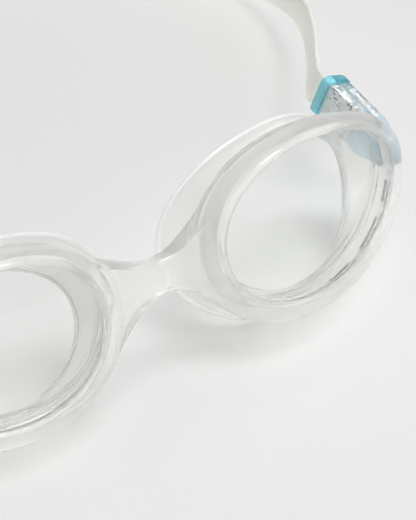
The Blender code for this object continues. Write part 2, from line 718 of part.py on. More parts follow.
def band_frames(route, lowest):
    """Stations on a smooth curve through the route's points, kept on the table."""
    places, ups = [], []
    last = len(route) - 1
    for i in range(last):
        near = [route[min(max(i + k, 0), last)] for k in (-1, 0, 1, 2)]
        (before, _), (a, up_a), (b, up_b), (after, _) = near
        for step in range(STRAP_STEPS):
            t = step / STRAP_STEPS
            place = hermite(a, b, (b - before) / 2, (after - a) / 2, t)
            place.z = max(place.z, lowest)
            places.append(place)
            ups.append(up_a.lerp(up_b, t))
    places.append(route[-1][0])
    ups.append(route[-1][1])
    stations = []
    for i, (place, up) in enumerate(zip(places, ups)):
        along = (places[min(i + 1, len(places) - 1)] - places[max(i - 1, 0)]).normalized()
        thick = along.cross(up).normalized()
        stations.append((place, thick, thick.cross(along)))
    return stations


def hermite(a, b, leaving, arriving, t):
    t2, t3 = t * t, t * t * t
    rise = 3 * t2 - 2 * t3
    return a * (1 - rise) + b * rise + leaving * (t3 - 2 * t2 + t) + arriving * (t3 - t2)


def band_loops(stations):
    """Section of the strap at each station: a flat band with chamfered edges."""
    half_width, half_thick, cut = STRAP_WIDTH / 2, STRAP_THICK / 2, STRAP_CHAMFER
    corner = [(half_thick - cut, half_width), (half_thick, half_width - cut)]
    section = [(t, w) for t, w in corner] + [(t, -w) for t, w in reversed(corner)]
    section += [(-t, -w) for t, w in corner] + [(-t, w) for t, w in reversed(corner)]
    return [[place + thick * t + wide * w for t, w in section] for place, thick, wide in stations]


def main():
    goggles = Goggles()
    goggles.soft_frame(material("soft_frame", (0.78, 0.80, 0.80), 0.45, 0.5))
    finishes = {
        "lens": material("lens", (0.92, 0.95, 0.95), 0.05, 1.0),
        "face_seal": material("face_seal", (0.86, 0.88, 0.88), 0.25, 0.6),
        "temple_anchor": material("temple_anchor", (0.88, 0.92, 0.93), 0.10, 0.9),
        "pivot_rivet": material("pivot_rivet", (0.10, 0.35, 0.45), 0.20, 0.4),
        "clip_base": material("clip_base", (0.90, 0.93, 0.94), 0.08, 0.9),
        "clip_cover": material("clip_cover", (0.05, 0.32, 0.42), 0.12, 0.7),
        "release_lever": material("release_lever", (0.80, 0.85, 0.87), 0.20, 0.5),
        "lever_pin": material("lever_pin", (0.75, 0.75, 0.76), 0.30),
    }
    for side in SIDES:
        for piece, finish in finishes.items():
            getattr(goggles, piece)(side, finish)
    goggles.head_strap(material("head_strap", (0.85, 0.86, 0.85), 0.40, 0.2))
    goggles.centre_footprint()


main()
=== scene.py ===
"""Looks of the swim goggles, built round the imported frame. Row frame, metres."""

import json
import math
from collections import namedtuple
from itertools import product

import bmesh
import bpy
import numpy as np
from mathutils import Matrix, Vector

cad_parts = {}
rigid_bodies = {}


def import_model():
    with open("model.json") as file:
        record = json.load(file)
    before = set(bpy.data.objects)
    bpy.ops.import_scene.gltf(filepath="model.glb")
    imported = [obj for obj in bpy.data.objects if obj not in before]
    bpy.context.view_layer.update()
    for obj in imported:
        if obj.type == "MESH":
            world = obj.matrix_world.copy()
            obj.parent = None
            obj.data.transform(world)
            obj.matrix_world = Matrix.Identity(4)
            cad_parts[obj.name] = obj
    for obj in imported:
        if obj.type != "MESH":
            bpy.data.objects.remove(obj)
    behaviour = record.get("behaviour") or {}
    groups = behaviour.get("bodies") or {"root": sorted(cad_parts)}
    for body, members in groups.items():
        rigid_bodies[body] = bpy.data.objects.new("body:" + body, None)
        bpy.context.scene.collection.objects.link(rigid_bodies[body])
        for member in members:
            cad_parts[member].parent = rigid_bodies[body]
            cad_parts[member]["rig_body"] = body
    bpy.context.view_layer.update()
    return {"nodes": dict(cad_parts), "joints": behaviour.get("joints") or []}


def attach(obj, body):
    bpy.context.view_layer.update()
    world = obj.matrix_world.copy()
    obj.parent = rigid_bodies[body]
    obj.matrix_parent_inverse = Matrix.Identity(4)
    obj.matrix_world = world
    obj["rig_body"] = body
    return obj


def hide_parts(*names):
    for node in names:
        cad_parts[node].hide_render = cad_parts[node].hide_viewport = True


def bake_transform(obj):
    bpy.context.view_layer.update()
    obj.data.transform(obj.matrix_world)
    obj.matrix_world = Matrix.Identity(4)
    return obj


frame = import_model()
SCENE = bpy.context.scene

MM = 0.001
# The part's own sizes, repeated from its source
GAP = 0.3 * MM
LEAN, WRAP, SWIVEL = math.radians(19.6), math.radians(11.3), math.radians(34.0)
NOSE_GAP = 25.8 * MM
LENS_RADIUS_ACROSS, LENS_RADIUS_UP = 67.0 * MM, 140.0 * MM
LENS_THICK, LENS_EDGE, LENS_WALL = 2.0 * MM, 1.6 * MM, 1.3 * MM
LIP_RISE, RING_DEPTH = 1.9 * MM, 6.6 * MM
BRIDGE_HALF_HEIGHT, BRIDGE_THICK, BRIDGE_RISE = 4.6 * MM, 5.2 * MM, 0.6 * MM
SEAL_THICK, THROAT_DEPTH, RIM_DEPTH = 1.4 * MM, 12.9 * MM, 18.0 * MM
SEAL_RADIUS = 74.4 * MM
PIVOT_BEHIND, ANCHOR_BITE = 3.6 * MM, 4.4 * MM
ANCHOR_THICK, ANCHOR_HALF_HEIGHT, ANCHOR_INSET = 2.4 * MM, 5.0 * MM, 2.4 * MM
CLIP_HALF_HEIGHT, CLIP_REACH, MOUTH_START = 7.05 * MM, 15.5 * MM, 12.9 * MM
STRAP_WIDTH, STRAP_THICK, STRAP_LEAD = 11.5 * MM, 1.3 * MM, 5.0 * MM
TAIL_END, STRAP_MIDDLE = 5.6 * MM, -2.25 * MM
STRAP_BULGE, STRAP_REACH = 28.0 * MM, 140.5 * MM
# The strap's way in shares: out, back and down. First out from the clip, then round behind
STRAP_OUTWARD = (
    (0.13, 0.045, 0.07), (0.44, 0.138, 0.21), (0.72, 0.238, 0.36), (0.92, 0.343, 0.53),
)
STRAP_AROUND = (
    (1.00, 0.458, 0.72), (0.95, 0.628, 0.95), (0.76, 0.825, 1.00), (0.40, 0.956, 1.00),
)

Egg = namedtuple("Egg", "nose temple half_height egg drop tilt")
OPENING = Egg(28.5 * MM, 27.9 * MM, 20.1 * MM, 0.17, 0.5 * MM, 0.0)
RING = Egg(33.9 * MM, 36.3 * MM, 24.8 * MM, 0.15, 2.5 * MM, 0.0)
THROAT = Egg(23.0 * MM, 20.5 * MM, 19.5 * MM, 0.0, 4.5 * MM, 0.0)
RIM = Egg(34.5 * MM, 29.5 * MM, 27.0 * MM, 0.0, 7.2 * MM, -0.08)
CUP_X = NOSE_GAP / 2 + RING.nose * math.cos(WRAP)
PIVOT_X = RING.temple
PIVOT_DEPTH = RING.temple**2 / (2 * LENS_RADIUS_ACROSS) + RING_DEPTH + PIVOT_BEHIND

# The cup and clip frames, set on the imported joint
SWIVEL_JOINT = next(j for j in frame["joints"] if j["name"] == "left_clip_swivel")
LEAN_TURN = Matrix.Rotation(-LEAN, 4, "X")
CUP_LOCAL = Matrix.Translation((CUP_X, 0, 0)) @ Matrix.Rotation(WRAP, 4, "Z")
PIVOT_LOCAL = Matrix.Translation((PIVOT_X, PIVOT_DEPTH, 0)) @ Matrix.Rotation(SWIVEL, 4, "X")
SHIFT = Vector(SWIVEL_JOINT["pos_m"]) - (LEAN_TURN @ CUP_LOCAL @ PIVOT_LOCAL).translation
LEANED = Matrix.Translation((0, SHIFT.y, SHIFT.z)) @ LEAN_TURN
CUP = LEANED @ CUP_LOCAL
CLIP = CUP @ PIVOT_LOCAL
MIRROR = Matrix.Scale(-1, 4, (1, 0, 0))
FLIP_X = np.array([-1, 1, 1])

# Meshes: points closer than this are joined, and faces meeting at more degrees keep a crease
WELD, CAD_WELD = 1e-6, 2e-6
SHARP, FRAME_SHARP, LENS_SHARP, STRAP_SHARP, HARD_SHARP = 60, 50, 35, 50, 40


# Curves and outlines
def turns(count):
    return np.arange(count) * (2 * math.pi / count)


def egg_xz(egg, turn):
    across, up = np.cos(turn), np.sin(turn)
    x = across * np.where(across > 0, egg.temple, egg.nose)
    return x, egg.half_height * up * (1 - egg.egg * across) - egg.drop + egg.tilt * x


def grown(egg, by):
    return egg._replace(
        nose=egg.nose + by, temple=egg.temple + by, half_height=egg.half_height + by
    )


def between(first, second, share):
    return Egg(*(a + (b - a) * share for a, b in zip(first, second)))


def lens_depth(x, z):
    return x * x / (2 * LENS_RADIUS_ACROSS) + z * z / (2 * LENS_RADIUS_UP)


def egg_loop(egg, forward, count, scale=1.0):
    """The outline laid on the lens's curve, moved forward of it."""
    x, z = egg_xz(egg, turns(count))
    x, z = x * scale, z * scale
    return np.stack([x, lens_depth(x, z) - forward, z], 1)


def bowed_loop(egg, depth, count):
    """The outline laid on the face's curve at the depth."""
    x, z = egg_xz(egg, turns(count))
    return np.stack([x, depth + x * x / (2 * SEAL_RADIUS), z], 1)


def catmull(points, per):
    """A smooth open line through the points, with `per` steps between each two."""
    p = np.array(points, float)
    ends = np.vstack([2 * p[0] - p[1], p, 2 * p[-1] - p[-2]])
    out = []
    for i in range(1, len(ends) - 2):
        a, b, c, d = ends[i - 1 : i + 3]
        square, cube = 2 * a - 5 * b + 4 * c - d, 3 * b - a - 3 * c + d
        for t in np.arange(per) / per:
            out.append(0.5 * (2 * b + (c - a) * t + square * t**2 + cube * t**3))
    return np.array(out + [p[-1]])


def hermite(t):
    """Weights of a curve's start, its tangent there, its end and its tangent there."""
    return 2 * t**3 - 3 * t**2 + 1, t**3 - 2 * t**2 + t, 3 * t**2 - 2 * t**3, t**3 - t**2


def unit(vectors):
    return vectors / np.linalg.norm(vectors, axis=-1)[..., None]


def moved(points, matrix):
    m = np.array(matrix)
    return points @ m[:3, :3].T + m[:3, 3]


# Meshes
def grid_faces(rows, cols, closed_rows=False):
    """Quads between rows of points, each row a closed loop."""
    faces = []
    for j in range(rows if closed_rows else rows - 1):
        for i in range(cols):
            k, l = (j + 1) % rows, (i + 1) % cols
            faces.append((j * cols + i, j * cols + l, k * cols + l, k * cols + i))
    return faces


def end_caps(rows, cols):
    """The faces that close the first and last row."""
    return [tuple(range(cols)), tuple(range(rows * cols - 1, (rows - 1) * cols - 1, -1))]


def add_object(name, data):
    obj = bpy.data.objects.new(name, data)
    SCENE.collection.objects.link(obj)
    return obj


def shade(mesh, sharp):
    mesh.shade_smooth()
    mesh.set_sharp_from_angle(angle=math.radians(sharp))


def piece(name, points, faces, sharp=SHARP):
    """A mesh object with outward normals and smooth shading."""
    mesh = bpy.data.meshes.new(name)
    mesh.from_pydata([tuple(p) for p in points], [], faces)
    bm = bmesh.new()
    bm.from_mesh(mesh)
    bmesh.ops.remove_doubles(bm, verts=bm.verts, dist=WELD)
    bmesh.ops.recalc_face_normals(bm, faces=bm.faces)
    if bm.calc_volume(signed=True) < 0:
        bmesh.ops.reverse_faces(bm, faces=bm.faces)
    bm.to_mesh(mesh)
    bm.free()
    shade(mesh, sharp)
    return add_object(name, mesh)


def bake_modifiers(obj):
    graph = bpy.context.evaluated_depsgraph_get()
    mesh = bpy.data.meshes.new_from_object(obj.evaluated_get(graph))
    old = obj.data
    obj.modifiers.clear()
    obj.data = mesh
    bpy.data.meshes.remove(old)


def cut(obj, cutter):
    modifier = obj.modifiers.new("cut", "BOOLEAN")
    modifier.operation, modifier.solver, modifier.object = "DIFFERENCE", "EXACT", cutter
    bake_modifiers(obj)
    bpy.data.objects.remove(cutter, do_unlink=True)


def mirrored(obj, name):
    """A mirror-image copy on the other side."""
    mesh = obj.data.copy()
    mesh.name = name
    mesh.transform(MIRROR)
    mesh.flip_normals()
    return add_object(name, mesh)


def finish_piece(obj, material, body, nodes):
    obj.data.materials.clear()
    obj.data.materials.append(material)
    if body:
        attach(obj, body)
    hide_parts(*nodes)


def faces_where(obj, matrix, test):
    """Numbers of the faces whose middle, in the matrix's frame, meets the test."""
    inward = matrix.inverted()
    return [face.index for face in obj.data.polygons if test(*(inward @ face.center))]


def paint(obj, material, faces):
    """Gives the numbered faces a further material."""
    obj.data.materials.append(material)
    for i in faces:
        obj.data.polygons[i].material_index = len(obj.data.materials) - 1


# Materials
NOISE_LOW, NOISE_HIGH = 0.3, 0.7  # the range of a noise that colour and roughness spread over
BUMP_DETAIL = 2.0
COLOUR_SCALE, BUMP_SCALE = 0.4, 1.7  # shares of a clear material's noise scale
COAT_ROUGHNESS, COAT_IOR = 0.06, 1.42


class Nodes:
    """A material's tree, with short calls for the nodes used here."""

    def __init__(self, name):
        self.material = bpy.data.materials.new(name)
        self.material.use_nodes = True
        self.tree = self.material.node_tree
        self.shader = self.tree.nodes["Principled BSDF"]
        self.output = self.tree.nodes["Material Output"]
        self.where = self.add("ShaderNodeTexCoord").outputs["Object"]

    def add(self, kind, **sockets):
        node = self.tree.nodes.new(kind)
        for name, value in sockets.items():
            socket = node.inputs[name.replace("_", " ")]
            if isinstance(value, bpy.types.NodeSocket):
                self.link(value, socket)
            else:
                socket.default_value = value
        return node

    def link(self, source, target):
        self.tree.links.new(source, target)

    def noise(self, scale, detail):
        node = self.add("ShaderNodeTexNoise", Vector=self.where, Scale=scale, Detail=detail)
        return node.outputs["Fac"]

    def colour(self, low, high, scale, detail=3.0):
        ramp = self.add("ShaderNodeValToRGB", Fac=self.noise(scale, detail))
        stops = zip(ramp.color_ramp.elements, (NOISE_LOW, NOISE_HIGH), (low, high))
        for element, place, colour in stops:
            element.position, element.color = place, (*colour, 1.0)
        self.link(ramp.outputs["Color"], self.shader.inputs["Base Color"])

    def roughness(self, low, high, scale, detail=3.0):
        spread = self.add(
            "ShaderNodeMapRange", Value=self.noise(scale, detail),
            From_Min=NOISE_LOW, From_Max=NOISE_HIGH, To_Min=low, To_Max=high,
        )
        self.link(spread.outputs["Result"], self.shader.inputs["Roughness"])

    def bump(self, strength, distance, scale):
        height = self.noise(scale, BUMP_DETAIL)
        node = self.add("ShaderNodeBump", Height=height, Strength=strength, Distance=distance)
        self.link(node.outputs["Normal"], self.shader.inputs["Normal"])

    def set(self, **values):
        for name, value in values.items():
            self.shader.inputs[name.replace("_", " ")].default_value = value

    def lets_lamps_through(self, tint):
        """Clear plastic dims the light behind it but throws no hard shadow."""
        path = self.add("ShaderNodeLightPath")
        clear = self.add("ShaderNodeBsdfTransparent", Color=(*tint, 1.0))
        mix = self.add("ShaderNodeMixShader")
        self.link(path.outputs["Is Shadow Ray"], mix.inputs[0])
        self.link(self.shader.outputs["BSDF"], mix.inputs[1])
        self.link(clear.outputs["BSDF"], mix.inputs[2])
        self.link(mix.outputs["Shader"], self.output.inputs["Surface"])


def clear_material(
    name, low, high, rough, transmission, ior, tint,
    bump=0.03, scale=90.0, coat=0.0, depth=0.2 * MM,
):
    """Clear or milky plastic, coloured from low to high, whose shadow has the tint."""
    nodes = Nodes(name)
    nodes.colour(low, high, scale * COLOUR_SCALE)
    nodes.roughness(*rough, scale)
    nodes.bump(bump, depth, scale * BUMP_SCALE)
    nodes.set(Transmission_Weight=transmission, IOR=ior)
    nodes.set(Coat_Weight=coat, Coat_Roughness=COAT_ROUGHNESS, Coat_IOR=COAT_IOR)
    nodes.lets_lamps_through(tint)
    return nodes.material


def silicone_strap():
    nodes = Nodes("strap_silicone")
    nodes.colour((0.98, 0.977, 0.94), (1.0, 0.997, 0.965), scale=120.0, detail=4.0)
    nodes.roughness(0.38, 0.52, scale=400.0, detail=4.0)
    nodes.bump(strength=0.08, distance=0.1 * MM, scale=2600.0)
    nodes.set(Transmission_Weight=0.5, IOR=1.2)
    nodes.lets_lamps_through((0.72, 0.715, 0.69))
    return nodes.material


def pin_steel():
    nodes = Nodes("pin_steel")
    nodes.colour((0.55, 0.55, 0.56), (0.68, 0.68, 0.69), scale=900.0)
    nodes.roughness(0.22, 0.4, scale=2500.0)
    nodes.set(Metallic=1.0)
    return nodes.material


def floor_paper():
    nodes = Nodes("floor_paper")
    nodes.colour((0.80, 0.80, 0.797), (0.82, 0.82, 0.817), scale=6.0, detail=2.0)
    nodes.roughness(0.75, 0.9, scale=300.0)
    nodes.set(Specular_IOR_Level=0.2)
    return nodes.material


FRAME_SOFT = clear_material(
    "soft_frame_clear", (0.91, 0.915, 0.895), (0.95, 0.952, 0.935), rough=(0.16, 0.24),
    transmission=0.78, ior=1.36, tint=(0.72, 0.725, 0.715), coat=0.5,
)
FRAME_THIN = clear_material(
    "soft_frame_thin", (0.975, 0.98, 0.975), (0.99, 0.995, 0.99), rough=(0.02, 0.05),
    transmission=0.98, ior=1.34, tint=(0.84, 0.845, 0.84), bump=0.01,
)
LENS_LOW, LENS_HIGH = (0.945, 0.95, 0.94), (0.965, 0.968, 0.96)
LENS_TINT = (0.79, 0.797, 0.785)
LENS_CLEAR = clear_material(
    "lens_clear", LENS_LOW, LENS_HIGH, rough=(0.01, 0.04),
    transmission=1.0, ior=1.43, tint=LENS_TINT, bump=0.004,
)
LENS_SIDE = clear_material(
    "lens_side", LENS_LOW, LENS_HIGH, rough=(0.12, 0.20),
    transmission=1.0, ior=1.40, tint=LENS_TINT, bump=0.004,
)
SEAL_CLEAR = clear_material(
    "seal_clear", (0.92, 0.923, 0.91), (0.955, 0.955, 0.945), rough=(0.08, 0.15),
    transmission=0.76, ior=1.31, tint=(0.67, 0.675, 0.665), bump=0.02, coat=0.5,
)
# Whiter, milkier silicone for the rim bead and the throat line: a painted highlight
SEAL_RIM_HIGHLIGHT = clear_material(
    "seal_rim_painted_highlight", (0.96, 0.965, 0.96), (0.99, 0.99, 0.985), rough=(0.30, 0.38),
    transmission=0.25, ior=1.40, tint=(0.7, 0.705, 0.7), bump=0.02, coat=1.0,
)
# Near-black grey for the dashes on the lens wall: painted shade and dark reflection of the slots in
# the lens edge
LENS_SLOT_SHADE = clear_material(
    "lens_slot_painted_shade", (0.20, 0.21, 0.20), (0.34, 0.35, 0.34), rough=(0.12, 0.22),
    transmission=0.3, ior=1.46, tint=(0.8, 0.805, 0.8), bump=0.01, scale=300.0,
)
HARD_CLEAR = clear_material(
    "hard_clear", (0.93, 0.955, 0.97), (0.99, 0.995, 1.0), rough=(0.03, 0.08),
    transmission=0.95, ior=1.42, tint=(0.94, 0.945, 0.95),
    bump=0.8, scale=185.0, depth=1.1 * MM,
)
# Clear plastic mottled with blue: painted refraction, the blue arcs seen in the clear hub
ANCHOR_PAINTED_REFRACTION = clear_material(
    "anchor_painted_refraction", (0.36, 0.70, 0.90), (0.99, 1.0, 1.0), rough=(0.03, 0.08),
    transmission=0.88, ior=1.34, tint=(0.94, 0.955, 0.96),
    bump=0.6, scale=1300.0, depth=0.4 * MM,
)
COVER_TINT = (0.66, 0.80, 0.84)
COVER_TEAL = clear_material(
    "cover_teal", (0.20, 0.62, 0.73), (0.28, 0.70, 0.80), rough=(0.16, 0.26),
    transmission=0.72, ior=1.40, tint=COVER_TINT, bump=0.01, scale=300.0,
)
COVER_PALE = clear_material(
    "cover_pale", (0.88, 0.95, 0.98), (0.985, 0.995, 1.0), rough=(0.04, 0.10),
    transmission=0.97, ior=1.42, tint=(0.94, 0.95, 0.955), bump=0.15, scale=300.0,
)
# A paler, more diffuse teal for the hoop's thin leg: painted light for the light shining through it
COVER_LEG_PAINTED_LIGHT = clear_material(
    "cover_leg_painted_light", (0.36, 0.78, 0.86), (0.46, 0.85, 0.91), rough=(0.16, 0.26),
    transmission=0.55, ior=1.40, tint=COVER_TINT, bump=0.01, scale=300.0,
)
# A milkier, blue-mottled copy of the tray's clear plastic for its hub: painted light and painted
# refraction
HUB_PAINTED_LIGHT = clear_material(
    "hub_painted_light", (0.36, 0.70, 0.88), (0.99, 1.0, 1.0), rough=(0.03, 0.08),
    transmission=0.88, ior=1.34, tint=(0.95, 0.96, 0.965),
    bump=0.5, scale=1300.0, depth=0.4 * MM,
)
RIVET_BLUE = clear_material(
    "rivet_blue", (0.55, 0.82, 0.92), (0.72, 0.90, 0.96), rough=(0.05, 0.15),
    transmission=0.92, ior=1.40, tint=(0.86, 0.91, 0.93), bump=0.01, scale=300.0,
)
LEVER_CLEAR = clear_material(
    "lever_clear", (0.95, 0.975, 0.985), (0.98, 0.99, 1.0), rough=(0.05, 0.12),
    transmission=0.97, ior=1.40, tint=(0.94, 0.95, 0.955), bump=0.1, scale=300.0,
)
STRAP = silicone_strap()
STEEL = pin_steel()


# Soft frame: two rings and the nose bridge as one skin
RING_TURNS, LIP_STEPS = 112, 3
# The lip's section: shares of the way from the opening to the ring's outline, and of LIP_RISE
LIP_PROFILE = (
    (0.0, 0.16), (0.04, 0.62), (0.22, 0.96), (0.50, 1.0), (0.78, 0.62), (0.955, -0.2),
)
# The outer wall below it: shares of the same way, and of RING_DEPTH
WALL_PROFILE = ((1.0, 0.3), (0.965, 0.7), (0.885, 0.93), (0.76, 1.0))
# The groove for the lens: shares of its height, then of its width
GROOVE_UP, GROOVE_IN = (0.06, 0.5, 0.94, 1.0), (0.9, 0.45)
# The bridge grows from a patch of the ring: its turns to each side of the nose, its section rows
PATCH_SIDE, PATCH_ROWS = 9, (13, 26)
BRIDGE_STEPS = 9
BRIDGE_POWER = 0.62  # below 1, so that its section is squarer than an ellipse
BRIDGE_LEAVE, BRIDGE_ARRIVE = 9.0 * MM, 1.25  # its tangents: a length, a share of its reach
# Clear temple ends, in the cup frame
CLEAR_FROM, CLEAR_TO = OPENING.temple - 4 * MM, RING.temple - 1.2 * MM
CLEAR_HALF_HEIGHT, CLEAR_BEHIND = 13 * MM, 0.2 * MM
# The cutters for the anchor's pocket and the clip's seat
BOX_FACES = [(0, 1, 3, 2), (4, 6, 7, 5), (0, 4, 5, 1), (2, 3, 7, 6), (0, 2, 6, 4), (1, 5, 7, 3)]
SEAT_TURNS, SEAT_LENGTH = 64, 9 * MM


def ring_section():
    """(outline, forward) round the ring's section: lip and outer wall smooth, groove square."""
    smooth = [(share, LIP_RISE * rise) for share, rise in LIP_PROFILE]
    smooth += [(share, -depth * RING_DEPTH) for share, depth in WALL_PROFILE]
    line = catmull(smooth, LIP_STEPS)
    section = [(between(OPENING, RING, share), forward) for share, forward in line]
    width, height = LENS_EDGE + GAP, RING_DEPTH + GAP
    groove = grown(OPENING, width)
    section += [(groove, -RING_DEPTH)]
    section += [(groove, -RING_DEPTH + height * share) for share in GROOVE_UP]
    section += [(grown(OPENING, width * share), GAP) for share in GROOVE_IN]
    return section


def bridge_middle(start):
    """Where each point of the patch's rim arrives on the bridge's section at x = 0."""
    ring_middle = lens_depth(RING.nose, 0) + RING_DEPTH / 2
    back = ring_middle * math.cos(WRAP) - RING.nose * math.sin(WRAP) - LIP_RISE
    centre = np.array(LEANED @ Vector((0, back, BRIDGE_RISE)))
    up, deep = np.array(LEANED.col[2][:3]), np.array(LEANED.col[1][:3])
    off = start - start.mean(0)
    across, rise = off @ deep, off @ up
    angle = np.arctan2(rise / np.abs(rise).max(), across / np.abs(across).max())
    cos, sin = np.cos(angle), np.sin(angle)
    end = centre + np.outer(np.sign(cos) * np.abs(cos) ** BRIDGE_POWER * BRIDGE_THICK / 2, deep)
    end += np.outer(np.sign(sin) * np.abs(sin) ** BRIDGE_POWER * BRIDGE_HALF_HEIGHT, up)
    end[:, 0] = 0.0
    return end


def half_frame():
    """Points and faces of the left ring and its half of the bridge."""
    section = ring_section()
    rows = len(section)
    grid = np.array([moved(egg_loop(egg, ahead, RING_TURNS), CUP) for egg, ahead in section])
    first, last = RING_TURNS // 2 - PATCH_SIDE, RING_TURNS // 2 + PATCH_SIDE
    low, high = PATCH_ROWS
    faces = []
    for number, face in enumerate(grid_faces(rows, RING_TURNS, closed_rows=True)):
        row, turn = divmod(number, RING_TURNS)
        if not (low <= row < high and first <= turn < last):
            faces.append(face)
    rim = [(low, i) for i in range(first, last)] + [(j, last) for j in range(low, high)]
    rim += [(high, i) for i in range(last, first, -1)] + [(j, first) for j in range(high, low, -1)]
    inner = [(min(max(j, low + 1), high - 1), min(max(i, first + 1), last - 1)) for j, i in rim]
    start = np.array([grid[j, i] for j, i in rim])
    leaving = unit(np.array([grid[j, i] for j, i in inner]) - start) * BRIDGE_LEAVE
    arriving = np.array([-start[:, 0].mean() * BRIDGE_ARRIVE, 0, 0])
    end = bridge_middle(start)
    points = [grid.reshape(-1, 3)]
    count, total = len(rim), rows * RING_TURNS
    before = [j * RING_TURNS + i for j, i in rim]
    for step in range(1, BRIDGE_STEPS + 1):
        h1, h2, h3, h4 = hermite(step / BRIDGE_STEPS)
        points.append(start * h1 + leaving * h2 + end * h3 + arriving * h4)
        now = range(total, total + count)
        total += count
        for i in range(count):
            k = (i + 1) % count
            faces.append((before[i], before[k], now[k], now[i]))
        before = now
    return np.vstack(points), faces


def soft_frame():
    half, faces = half_frame()
    both = np.vstack([half, half * FLIP_X])
    faces += [tuple(v + len(half) for v in reversed(face)) for face in faces]
    obj = piece("goggle_frame_skin", both, faces)
    obj.modifiers.new("smooth", "SUBSURF").levels = 1
    bake_modifiers(obj)
    for matrix in (CUP, MIRROR @ CUP):
        cut(obj, anchor_pocket(matrix))
        cut(obj, clip_seat(matrix))
    shade(obj.data, FRAME_SHARP)
    finish_piece(obj, FRAME_SOFT, "root", ["soft_frame"])
    clear_temples(obj)


def clear_temples(obj):
    """The walls at the temple ends are clear, so that the clips' hubs show through."""

    def at_temple(x, y, z):
        at_end = CLEAR_FROM < x < CLEAR_TO and abs(z) < CLEAR_HALF_HEIGHT
        return at_end and y - lens_depth(x, z) > CLEAR_BEHIND

    cups = (CUP, MIRROR @ CUP)
    paint(obj, FRAME_THIN, [i for cup in cups for i in faces_where(obj, cup, at_temple)])


def anchor_pocket(matrix):
    outer = PIVOT_X - ANCHOR_INSET
    root = PIVOT_BEHIND + ANCHOR_BITE
    across = (outer - ANCHOR_THICK - GAP, outer + GAP)
    along = (PIVOT_DEPTH - root - GAP, PIVOT_DEPTH + root)
    up = (-ANCHOR_HALF_HEIGHT - GAP, ANCHOR_HALF_HEIGHT + GAP)
    corners = np.array(list(product(across, along, up)))
    return piece("pocket_cutter", moved(corners, matrix), BOX_FACES)


def clip_seat(matrix):
    a = turns(SEAT_TURNS)
    radius = CLIP_HALF_HEIGHT + GAP
    y, z = PIVOT_DEPTH + radius * np.cos(a), radius * np.sin(a)
    ends = (PIVOT_X - ANCHOR_INSET, PIVOT_X + SEAT_LENGTH)
    loops = [np.stack([np.full(SEAT_TURNS, x), y, z], 1) for x in ends]
    faces = grid_faces(2, SEAT_TURNS) + end_caps(2, SEAT_TURNS)
    return piece("seat_cutter", moved(np.vstack(loops), matrix), faces)


# Lens: curved clear shell with a side wall
LENS_TURNS, DOME_STEPS = 144, 16
FRONT_ROUND, FOOT_ROUND, BACK_ROUND = 0.25 * MM, 0.2 * MM, 0.5 * MM
WALL_OUTSIDE, WALL_INSIDE = (2.4 * MM, 3.3 * MM, 4.4 * MM), (4.4 * MM, 3.0 * MM, 2.4 * MM)
# The rows of faces in the side wall, and in them the dashes painted dark at the lower temple side:
# painted shade and dark reflection of the slots in the lens edge
WALL_ROWS, SLOT_ROW = range(16, 26), 17
SLOT_TURNS = ((108, 114), (118, 126), (130, 136))
SLOT_SHADE_FACES = [SLOT_ROW * LENS_TURNS + i for span in SLOT_TURNS for i in range(*span)]
WALL_FACES = range(WALL_ROWS.start * LENS_TURNS, WALL_ROWS.stop * LENS_TURNS)


def lens_loops():
    """From the middle of the front out, over the wall's foot, and in to the middle of the back."""
    edge, wall = grown(OPENING, LENS_EDGE), grown(OPENING, LENS_EDGE - LENS_WALL)
    back = grown(wall, -BACK_ROUND)
    foot = RING_DEPTH - FOOT_ROUND
    shares = [math.sin(math.pi / 2 * i / DOME_STEPS) for i in range(1, DOME_STEPS)]
    rows = [(edge, 0.0, share) for share in shares]
    rows += [(grown(edge, -FRONT_ROUND), 0.0, 1.0)]
    rows += [(edge, depth, 1.0) for depth in (FRONT_ROUND, *WALL_OUTSIDE, foot)]
    rows += [(grown(edge, -FOOT_ROUND), RING_DEPTH, 1.0)]
    rows += [(grown(wall, FOOT_ROUND), RING_DEPTH, 1.0)]
    rows += [(wall, depth, 1.0) for depth in (foot, *WALL_INSIDE)]
    rows += [(back, LENS_THICK, 1.0)]
    rows += [(back, LENS_THICK, share) for share in reversed(shares)]
    return [egg_loop(egg, -depth, LENS_TURNS, scale) for egg, depth, scale in rows]


def lens():
    loops = lens_loops()
    middles = np.array([[0, 0, 0], [0, LENS_THICK, 0]])
    points = np.vstack([moved(loop, CUP) for loop in loops + [middles]])
    faces = grid_faces(len(loops), LENS_TURNS)
    front = len(loops) * LENS_TURNS
    rear, last_row = front + 1, front - LENS_TURNS
    for i in range(LENS_TURNS):
        k = (i + 1) % LENS_TURNS
        faces += [(i, k, front), (last_row + k, last_row + i, rear)]
    left = piece("left_lens_shell", points, faces, LENS_SHARP)
    right = mirrored(left, "right_lens_shell")
    for obj, node in ((left, "left_lens"), (right, "right_lens")):
        finish_piece(obj, LENS_CLEAR, "root", [node])
        # The dashes get the painted shade of the slots
        paint(obj, LENS_SLOT_SHADE, SLOT_SHADE_FACES)
        paint(obj, LENS_SIDE, [i for i in WALL_FACES if i not in SLOT_SHADE_FACES])


# Face seal: thin skirt with a bead along its rim
SEAL_TURNS = 144
NECK_SHARES = (0.2, 0.4, 0.6, 0.78, 0.9)
THROAT_ROW = 2 + len(NECK_SHARES)
FLARE_ROWS, SMOOTHINGS = 15, 3
# Thickness in mm at shares of the way from the collar to the rim
THICK_AT, THICK_MM = (0, 0.15, 0.4, 0.9, 0.97, 1.0), (1.4, 1.3, 1.0, 0.8, 1.15, 0.9)
RIM_ROUND = 0.35 * MM
TABLE_EASE = 0.6 * MM  # points lower than this are eased up, so that none is below the table


